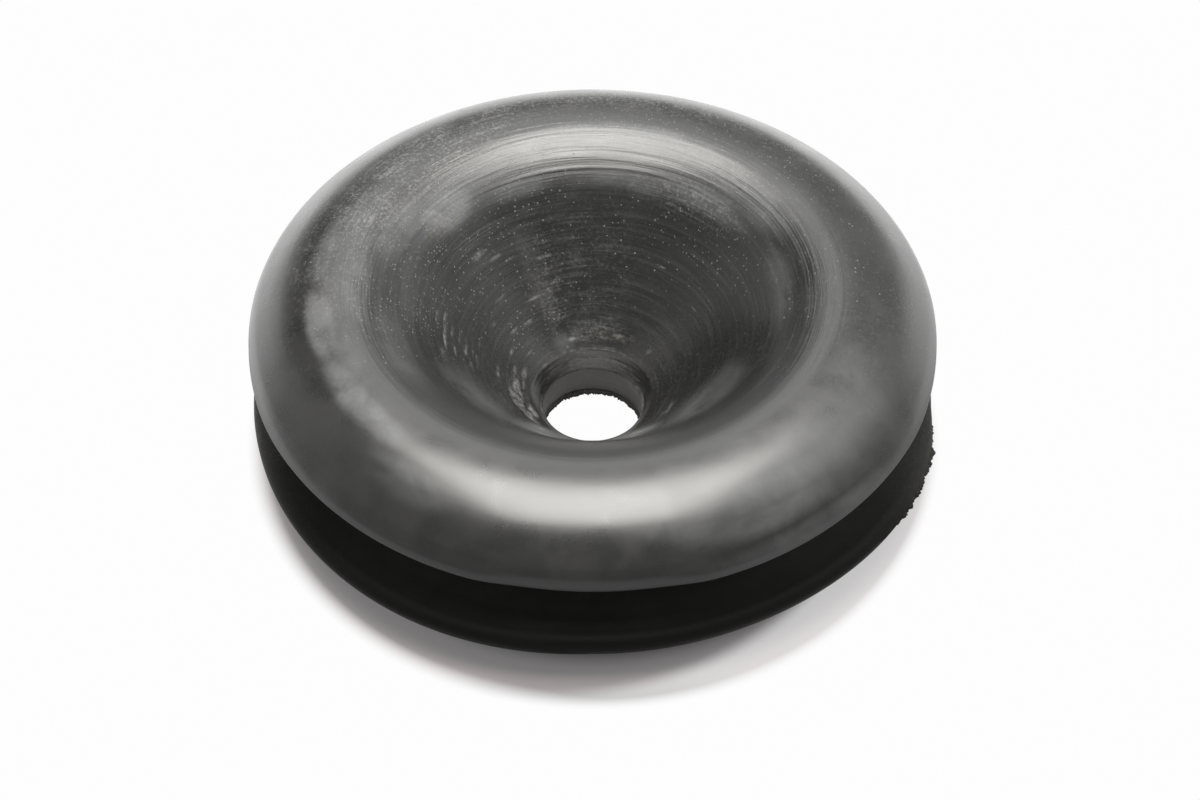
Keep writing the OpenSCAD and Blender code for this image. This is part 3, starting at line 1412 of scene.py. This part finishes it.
class RubberMasks:
    """Where each look of the rubber shows, from 0 to 1.

    Attributes:
        coarse: Coarse blotches.
        fine: Fine blotches.
        grain: The lighter half of the fine blotches.
        crisp: Everywhere but towards the front, where fine marks fade out.
        bloom: Waxy bloom on the back of the shoulder.
        shoulder: The shoulder.
        inside: Inside the mouth, where the colour also carries painted shade.
        cut: The cut surface of the mouth, up to the crest.
        wall: The cone's wall.
        far_wall: 0 at the front of the cone, down to -0.6 at its back.
        lip: The upper lip, darkened with painted shade and rougher.
        low: Painted shade on the lower flange, most of all in front.
        close: Height of the closely set lines.
        wide: Height of the widely set lines.
        threads: The widely set lines' ridges, inside the mouth.
        scratch: Short scratches across the dome, where it is dusty.
        dust_and_highlight: Dust, with some painted highlight among it.
        film_and_highlight: Pale handling marks, with some painted highlight among them.
        scuff: Torn rubber.
        speck: Specks of grit too small to stand out.
        warm: Warm stain.
        dull: Duller skin.
    """

    def __init__(self, g: Graph, effects: SharedEffects) -> None:
        """Builds the masks.

        Args:
            g: The material's graph.
            effects: The shared node groups.
        """
        place = g.millimetres()
        x, y, _ = g.parts(place)
        reach = g.length(g.xyz(x, y, 0.0))
        along = self._painted(g, "along")
        spot = Spot(along, x / reach, y / reach)
        mottle = effects.mottle(place, 1.0)
        self.coarse, self.fine = mottle["Coarse"], mottle["Fine"]
        self.grain = self.fine.ramp(0.48, 0.61)
        self.crisp = y.ramp(-20.0, 1.0)
        self.inside = along.ramp(20.0, 18.0)
        self.cut = along.ramp(20.9, 19.2)
        self.shoulder = Zone.SHOULDER.mask(along)
        self.wall = Zone.CUT_WALL.mask(along)
        self.lip = Zone.LIP.mask(along)
        behind = spot.sine * 0.26 + spot.cosine * 0.966
        self.bloom = Zone.BLOOM.mask(along) * behind.ramp(0.4, 0.97)
        self.far_wall = spot.cosine.ramp(-0.4, 0.5, 0.0, -0.6)
        # Painted shade on the lower flange, darker towards the front.
        self.low = along.ramp(40.5, 43.5) * spot.cosine.ramp(-0.15, -0.6, 0.5, 0.9)
        close, wide = effects.lines(spot, 0.13, 3.0), effects.lines(spot, 0.34, 1.0)
        self.close, self.wide = close["Height"], wide["Height"]
        self.threads = wide["Threads"] * self.inside * self.crisp
        dust_and_highlight = self._painted(g, "dust_and_highlight")
        streaks = g.noise(spot.unrolled(2.2, 120.0), 1.0, 2.0, 0.6)
        self.scratch = streaks.ramp(0.56, 0.70) * Zone.DOME.mask(along) * dust_and_highlight.ramp(0.05, 0.4)
        self.dust_and_highlight = dust_and_highlight * self._dust_share()
        film_and_highlight = self._painted(g, "film_and_highlight") * (self._uneven() * 1.2 + 1.0)
        self.film_and_highlight = film_and_highlight.at_least(0.0).at_most(1.0)
        self.scuff = self._painted(g, "scuff") * (self.fine + self.close * 0.5).ramp(0.55, 0.8)
        self.speck = effects.specks(place, 0.2, self._painted(g, "grit") * self.crisp * 0.36)
        self.warm = self._painted(g, "warm")
        self.dull = self._painted(g, "dull")

    @staticmethod
    def _painted(g: Graph, name: str) -> Term:
        """What is painted on the skin under a name."""
        return g.node("ShaderNodeAttribute", attribute_name=name)["Fac"]

    def _dust_share(self) -> Term:
        """How much of the dust stays: in blotches and, inside the mouth, in the lines.

        Returns:
            The share.
        """
        broken = (self.coarse * 0.7 + self.fine * 0.5).ramp(0.42, 0.78)
        strokes = self.close.ramp(0.48, 0.62) * 0.75 + self.grain * 0.75
        strokes = (strokes - 0.6) * self.crisp + 0.6
        in_lines = self.wide * 1.3 - 0.15
        return broken * strokes * (in_lines * self.inside + (1.0 - self.inside))

    def _uneven(self) -> Term:
        """How much more or less film lies in a place, around 0."""
        return (self.coarse * 2.0 - 1.0) + (self.fine - 0.5) * self.crisp


@dataclass(frozen=True)
class RubberFinish:
    """Black rubber, turned and handled.

    Attributes:
        effects: The shared node groups.
        dark: Its own colour.
        worn: Its colour where it is a little bleached.
        powder_and_highlight: Grey colour of the dirt in the lines, flecks and blotches, and of the painted
            highlight laid with it.
        haze_and_highlight: Colour of the pale handling marks, and of the painted highlight among them.
        torn: Colour of scuffed rubber.
        stain: Colour of the warm stain.
        roughness: Its roughness where it is clean.
        cut_roughness: What the cut inside of the mouth adds to it.
        ior: Its index of refraction.
        specular: Its specular level.
        bloom: How strong the waxy bloom on the shoulder is.
        line_height: How high the lines stand on the shoulder, in metres.
        name: The material's name.
    """

    effects: SharedEffects
    dark: Colour = (0.020, 0.020, 0.019, 1.0)
    worn: Colour = (0.034, 0.0335, 0.032, 1.0)
    powder_and_highlight: Colour = (0.45, 0.45, 0.43, 1.0)
    haze_and_highlight: Colour = (0.44, 0.45, 0.46, 1.0)
    torn: Colour = (0.55, 0.545, 0.52, 1.0)
    stain: Colour = (0.34, 0.29, 0.19, 1.0)
    roughness: float = 0.29
    cut_roughness: float = 0.04
    ior: float = 1.85
    specular: float = 1.0
    bloom: float = 0.85
    line_height: float = 2.3e-5
    name: str = "rubber_black"

    def _colour(self, g: Graph, m: RubberMasks) -> Term:
        """Its colour, with everything that lies on it.

        Args:
            g: The material's graph.
            m: The masks.

        Returns:
            The colour.
        """
        lined = (m.close * 0.5 + m.wide * 0.5).ramp(0.46, 0.62) * m.inside * m.crisp
        flecks = m.fine.ramp(0.57, 0.64) * m.crisp * (m.wall * m.far_wall + 1.0)
        # Painted shade: the colour goes towards black inside the mouth, on the upper lip and on the lower
        # flange, most of all in front.
        painted_shade = (m.inside * 0.75).at_least(m.low).at_least(m.lip)
        colour = g.colour(m.coarse.ramp(0.38, 0.68), self.dark, self.worn)
        colour = g.colour(painted_shade, colour, BLACK)
        # Each layer: where it lies, its share of the colour where it is full, and its own colour.
        layers = (
            (lined, 0.04, self.powder_and_highlight),
            (flecks, 0.13, self.powder_and_highlight),
            (m.dust_and_highlight, 0.55, self.powder_and_highlight),
            (m.threads, 0.03, self.powder_and_highlight),
            (m.scratch * m.grain, 0.30, self.powder_and_highlight),
            (m.film_and_highlight, 0.39, self.haze_and_highlight),
            (m.warm * m.grain, 0.34, self.stain),
            (m.scuff, 0.75, self.torn),
            (m.speck, 0.40, self.torn),
        )
        for mask, most, paint in layers:
            colour = g.colour(mask * most, colour, paint)
        return colour

    def _rough(self, m: RubberMasks) -> Term:
        """Its roughness.

        Args:
            m: The masks.

        Returns:
            The roughness.
        """
        # Each look: where it lies, and what it adds where it is full.
        looks = (
            (m.coarse - 0.5, 0.18),
            ((m.fine - 0.5) * m.crisp, 0.10),
            (m.dust_and_highlight + m.film_and_highlight, 0.10),
            (m.scuff + m.speck, 0.3),
            (m.cut, self.cut_roughness),
            (m.lip, 0.25),
            (m.wall, -0.06),
            (m.dull, 0.16),
        )
        return sum((mask * most for mask, most in looks), self.roughness)

    def _height(self, m: RubberMasks) -> Term:
        """How high the surface's finest relief stands, in metres.

        Args:
            m: The masks.

        Returns:
            The height.
        """
        close = m.close * (m.shoulder * self.line_height + (m.inside * 1.0e-5 + 1.0e-6))
        wide = m.wide * (m.shoulder * self.line_height + 3.0e-6)
        relief = (close + wide + m.fine * 6.5e-6) * m.crisp
        return relief + m.scratch * -2.0e-6 + m.scuff * 1.2e-5

    def material(self) -> bpy.types.Material:
        """Builds the material.

        Returns:
            The material.
        """
        made, g = new_material(self.name)
        m = RubberMasks(g, self.effects)
        bump = g.node("ShaderNodeBump", {"Strength": 1.0, "Distance": 1.0, "Height": self._height(m)})
        inputs = {
            "Base Color": self._colour(g, m),
            "Roughness": self._rough(m),
            "Normal": bump,
            "IOR": self.ior,
            "Specular IOR Level": self.specular,
            "Sheen Weight": 0.15,
            "Sheen Roughness": 0.35,
            "Coat Weight": m.bloom * self.bloom,
            "Coat Roughness": 0.5,
            "Coat IOR": 1.8,
        }
        g.node("ShaderNodeOutputMaterial", {"Surface": g.node("ShaderNodeBsdfPrincipled", inputs)})
        return made


@dataclass(frozen=True)
class GritFinish:
    """Pale dry grains, some of them yellow-brown.

    Attributes:
        effects: The shared node groups.
        pale: Colour of most grains.
        grey: Colour of the dirtier ones.
        sandy: Colour of the yellow-brown ones, which lie on the left.
    """

    effects: SharedEffects
    pale: Colour = (0.62, 0.615, 0.59, 1.0)
    grey: Colour = (0.16, 0.16, 0.155, 1.0)
    sandy: Colour = (0.42, 0.33, 0.17, 1.0)

    def material(self) -> bpy.types.Material:
        """Builds the material.

        Returns:
            The material.
        """
        made, g = new_material("grit_grains")
        place = g.millimetres()
        mottle = self.effects.mottle(place, 0.5)
        x, _, _ = g.parts(place)
        left = x.ramp(-13.0, -17.0) * mottle["Coarse"].ramp(0.40, 0.55)
        colour = g.colour(mottle["Fine"].ramp(0.40, 0.62), self.grey, self.pale)
        colour = g.colour(left, colour, self.sandy)
        inputs = {"Base Color": colour, "Roughness": mottle["Fine"] * 0.3 + 0.45}
        g.node("ShaderNodeOutputMaterial", {"Surface": g.node("ShaderNodeBsdfPrincipled", inputs)})
        return made


@dataclass(frozen=True)
class FloorFinish:
    """Matt white paper, brought up to plain white away from the grommet where the camera sees it.

    Ranges run from where something begins to where it is full, in metres from the axis. Light and shade are
    painted in places: the plain white comes in close and covers the outer part of the shadow, some plain
    white is mixed into the shade under the flange, in reflections the floor glows, and under the bore it is
    darker for the light that it throws back.

    Attributes:
        effects: The shared node groups.
        paper: Its colour near the grommet.
        fibre: Colour of its fibres.
        fibre_share: How strongly they show.
        cast: Colour of the light that it throws back.
        far_front: Its colour well in front.
        front: The range of that, along Y.
        oval: How the plain white's edge is stretched along X, Y and Z.
        shift: How the middle of the plain white's edge is moved.
        fade: The range of the plain white, which lies close round the grommet and paints over the outer part
            of its shadow.
        shade_fade: The range of the painted light in the shade under the flange.
        shade_shift: How the middle of the darkest shade is moved.
        shade_edge: The range over which the shade goes from its darkest to its lightest.
        shade_lift: Share of plain white in the darkest shade: painted light.
        side_lift: The same on the right, stronger: painted light standing for the fill from the lighter side
            of the room.
        under: The range of the floor that is seen through the bore.
        under_share: How far that takes the colour that lies well in front: painted shade, which dims the
            light the floor throws up onto the bore's wall.
        mirrored_fade: The range of the plain white in reflections.
        brightest: The direction in which the floor is brightest in reflections.
        mirrored_turn: The range over which it goes from front to behind, by how far a place points that way.
        mirrored_front: How bright the floor is in reflections, in front.
        mirrored_behind: The same behind.
    """

    effects: SharedEffects
    paper: Colour = (0.90, 0.79, 0.81, 1.0)
    fibre: Colour = (0.76, 0.69, 0.70, 1.0)
    fibre_share: float = 0.12
    cast: Colour = (0.80, 0.78, 0.78, 1.0)
    far_front: Colour = (0.22, 0.22, 0.22, 1.0)
    front: Range = (-0.0222, -0.0262)
    oval: Triple = (1.045, 1.012, 1.0)
    shift: Triple = (-0.0001, 0.0002, 0.0)
    fade: Range = (0.0238, 0.0260)
    shade_fade: Range = (0.0200, 0.0226)
    shade_shift: Triple = (0.0036, 0.0012, 0.0)
    shade_edge: Range = (0.0226, 0.0242)
    shade_lift: float = 0.14
    side_lift: float = 0.51
    under: Range = (0.0085, 0.0060)
    under_share: float = 0.6
    mirrored_fade: Range = (0.0243, 0.0285)
    brightest: Triple = (-0.14, 1.0, 0.0)
    mirrored_turn: Range = (-0.6, 1.05)
    mirrored_front: float = 0.3
    mirrored_behind: float = 1.75

    def material(self) -> bpy.types.Material:
        """Builds the material.

        Returns:
            The material.
        """
        made, g = new_material("floor_paper")
        place = g.node("ShaderNodeTexCoord")["Object"]
        path = g.node("ShaderNodeLightPath")
        seen, mirrored = path["Is Camera Ray"], path["Is Glossy Ray"]
        under = g.length(place).ramp(*self.under)

        _, y, _ = g.parts(place)
        fibres = self.effects.mottle(g.millimetres(), 0.6)["Fine"] * self.fibre_share
        paper = g.colour(seen, self.cast, g.colour(fibres, self.paper, self.fibre))
        # Under the bore the paper takes the darker colour too: painted shade that dims the light thrown onto
        # the bore's wall. The camera sees plain white there.
        paper = g.colour(y.ramp(*self.front).at_least(under * self.under_share), paper, self.far_front)
        sheet = g.node("ShaderNodeBsdfDiffuse", {"Color": paper})

        reach = g.length(g.vector("MULTIPLY_ADD", place, self.oval, self.shift))
        shade = g.length(g.vector("ADD", place, self.shade_shift))
        # Painted light: some plain white is mixed into the shade under the flange, more on the right, where
        # it stands for fill from the lighter side of the room.
        painted_light_in_shade = shade.ramp(*self.shade_edge, self.shade_lift, self.side_lift) * reach.ramp(*self.shade_fade)
        away = reach.ramp(*self.fade).at_least(painted_light_in_shade).at_least(under)
        # Painted reflection: away from the grommet the floor glows in reflections, brighter behind than in
        # front.
        behind = g.facing(g.vector("NORMALIZE", place), self.brightest)
        room = behind.ramp(*self.mirrored_turn, self.mirrored_front, self.mirrored_behind)
        strength = mirrored * room + seen * PLAIN_WHITE
        bright = g.node("ShaderNodeEmission", {"Color": WHITE, "Strength": strength})
        share = mirrored * reach.ramp(*self.mirrored_fade) + away * seen
        mixed = g.node("ShaderNodeMixShader", {0: share, 1: sheet, 2: bright})
        g.node("ShaderNodeOutputMaterial", {"Surface": mixed})
        return made


# --------------------------------------------------------------------------------------------------
# Studio
# --------------------------------------------------------------------------------------------------


def toward(bearing: float, from_zenith: float) -> Vector:
    """The direction of a place in the room, seen from the grommet.

    Args:
        bearing: Degrees clockwise from the back, seen from above.
        from_zenith: Degrees down from straight overhead.

    Returns:
        The direction, with length 1.
    """
    turn, down = math.radians(bearing), math.radians(from_zenith)
    return Vector((math.sin(turn) * math.sin(down), math.cos(turn) * math.sin(down), math.cos(down)))


@dataclass(frozen=True)
class SoftBox:
    """A flat soft lamp overhead that faces the grommet.

    Attributes:
        name: Its name.
        bearing: Where it stands, in degrees clockwise from the back, seen from above.
        from_zenith: How far down from straight overhead it is, in degrees.
        width: Its width in degrees, as seen from the grommet.
        depth: Its depth in degrees.
        radiance: How bright its face is, where 1 is white.
        tint: Its colour.
        distance: How far away it is, in metres.
    """

    name: str = "lamp_overhead"
    bearing: float = 0.0
    from_zenith: float = 1.9
    width: float = 40.5
    depth: float = 43.6
    radiance: float = 4.0
    tint: Triple = (1.0, 0.985, 0.94)
    distance: float = 1.0

    def place(self) -> bpy.types.Object:
        """Puts the lamp in the scene.

        Returns:
            The lamp.
        """
        lamp = bpy.data.lights.new(self.name, "AREA")
        lamp.shape = "RECTANGLE"
        lamp.size = 2 * self.distance * math.tan(math.radians(self.width / 2))
        lamp.size_y = 2 * self.distance * math.tan(math.radians(self.depth / 2))
        lamp.energy = self.radiance * math.pi * lamp.size * lamp.size_y
        lamp.color = self.tint
        made = placed(self.name, lamp)
        away = toward(self.bearing, self.from_zenith)
        side = away.cross(Vector((0, 1, 0))).normalized()
        turned = Matrix((side, away.cross(side), away)).transposed().to_4x4()
        made.matrix_world = Matrix.Translation(away * self.distance) @ turned
        return made


@dataclass(frozen=True)
class Glow:
    """A soft round place in the room that is lighter or darker than the rest, with angles in degrees.

    Attributes:
        bearing: Where its middle is, clockwise from the back, seen from above.
        from_zenith: How far its middle is from straight overhead.
        core: Radius of its evenly bright middle.
        edge: Radius where it ends.
        strength: How much it adds, or takes away where it is negative.
    """

    bearing: float
    from_zenith: float
    core: float
    edge: float
    strength: float

    def light(self, g: Graph, direction: Term) -> Term:
        """Its light in a direction.

        Args:
            g: The room's graph.
            direction: The direction.

        Returns:
            The light.
        """
        facing = g.facing(direction, toward(self.bearing, self.from_zenith))
        edge, core = math.cos(math.radians(self.edge)), math.cos(math.radians(self.core))
        return facing.ramp(edge, core, 0.0, self.strength)


@dataclass(frozen=True)
class Viewpoint:
    """The camera: where it looks, from which height and how far, in metres and degrees.

    Attributes:
        target: The point in the middle of its picture.
        elevation: How far above level it stands.
        distance: Its distance from the target.
        roll: How far it is turned about its own axis.
        lens: Its focal length, in millimetres.
        sensor: The width that goes with it, in millimetres.
    """

    target: Triple = (0.00053, 0.0, 0.00297)
    elevation: float = 46.64
    distance: float = 0.280
    roll: float = 0.138
    lens: float = 118.16
    sensor: float = 36.0

    def place(self) -> bpy.types.Object:
        """Puts the camera in the scene and makes it the scene's own.

        Returns:
            The camera.
        """
        data = bpy.data.cameras.new("camera")
        data.sensor_width = self.sensor
        data.lens = self.lens
        data.clip_start, data.clip_end = 0.01, 20.0
        made = placed("camera", data)
        tilt, roll = math.radians(self.elevation), math.radians(self.roll)
        back = Vector((0, -math.cos(tilt), math.sin(tilt)))
        level, upright = Vector((1, 0, 0)), Vector((0, math.sin(tilt), math.cos(tilt)))
        right = math.cos(roll) * level + math.sin(roll) * upright
        up = math.cos(roll) * upright - math.sin(roll) * level
        turned = Matrix((right, up, back)).transposed().to_4x4()
        made.matrix_world = Matrix.Translation(Vector(self.target) + back * self.distance) @ turned
        bpy.context.scene.camera = made
        return made


@dataclass
class Studio:
    """Floor, lamp, surroundings and camera.

    Attributes:
        lamp: The lamp.
        viewpoint: The camera's place.
        floor_radius: Radius of the floor, in metres.
        floor_drop: How far it lies under the grommet's flat lower face, in metres.
        front: How bright the room is in front.
        behind: How bright it is behind.
        change: The range along Y of a direction over which it goes from front to behind.
        glows: Lighter and darker places in the room.
    """

    lamp: SoftBox = SoftBox()
    viewpoint: Viewpoint = Viewpoint()
    floor_radius: float = 0.3
    floor_drop: float = 1e-5
    front: float = 0.13
    behind: float = 0.36
    change: Range = (-0.6, 0.8)
    glows: tuple[Glow, ...] = (
        Glow(82, 38, 6, 28, 0.85),
        Glow(-6, 50, 3, 18, 0.85),
        Glow(52, 90, 3, 18, 0.7),
        Glow(-52, 90, 3, 18, 0.7),
        Glow(-38, 58, 8, 30, -0.26),
    )

    def _floor(self, effects: SharedEffects) -> bpy.types.Object:
        """The floor, a round sheet.

        Args:
            effects: The shared node groups.

        Returns:
            The floor.
        """
        mesh = bpy.data.meshes.new("floor")
        work = bmesh.new()
        bmesh.ops.create_circle(work, cap_ends=True, segments=96, radius=self.floor_radius)
        work.to_mesh(mesh)
        work.free()
        mesh.transform(Matrix.Translation((0, 0, -self.floor_drop)))
        mesh.materials.append(FloorFinish(effects).material())
        made = placed("floor", mesh)
        return made

    def _surroundings(self) -> None:
        """Plain white for the camera, and a room that is lighter behind than in front for the rest."""
        world = bpy.data.worlds.new("room")
        world.use_nodes = True
        g = Graph(world.node_tree)
        direction = g.node("ShaderNodeTexCoord")["Generated"]
        _, y, _ = g.parts(direction)
        light = y.ramp(*self.change, self.front, self.behind)
        for glow in self.glows:
            light = light + glow.light(g, direction)
        room = g.node("ShaderNodeBackground", {"Color": WHITE, "Strength": light.at_least(0.0)})
        white = g.node("ShaderNodeBackground", {"Color": WHITE, "Strength": PLAIN_WHITE})
        seen = g.node("ShaderNodeLightPath")["Is Camera Ray"]
        mixed = g.node("ShaderNodeMixShader", {0: seen, 1: room, 2: white})
        g.node("ShaderNodeOutputWorld", {"Surface": mixed})
        bpy.context.scene.world = world

    def build(self, effects: SharedEffects) -> None:
        """Sets up everything around the grommet.

        Args:
            effects: The shared node groups.
        """
        self._floor(effects)
        self._surroundings()
        self.lamp.place()
        self.viewpoint.place()
        bpy.context.scene.view_settings.view_transform = "Standard"


def main() -> None:
    """Builds the studio and the grommet, and reports each piece."""
    logging.basicConfig(level=logging.INFO, format="%(name)s: %(message)s")
    effects = SharedEffects()
    Studio().build(effects)
    rubber = RubberFinish(effects).material()
    # The matt rubber's colours are about five times lighter than the rubber's own: painted light in the
    # shade of the groove and the lower flange, which the masks darken again towards the front with painted
    # shade. Its low specular level and high roughness make it matt.
    matt_painted_light_finish = RubberFinish(
        effects,
        dark=(0.108, 0.108, 0.105, 1.0),
        worn=(0.126, 0.126, 0.121, 1.0),
        roughness=0.62,
        ior=1.45,
        specular=0.3,
        name="rubber_matt_painted_light",
    )
    matt = matt_painted_light_finish.material()
    skin = Moulding().build(rubber, matt)
    grit = Grit().build(skin, GritFinish(effects).material())
    for piece in (skin, grit, TornEdge().build(matt), BoreFlash().build(matt)):
        LOG.info("%s: %d faces", piece.name, len(piece.data.polygons))


if __name__ == "__main__":
    main()
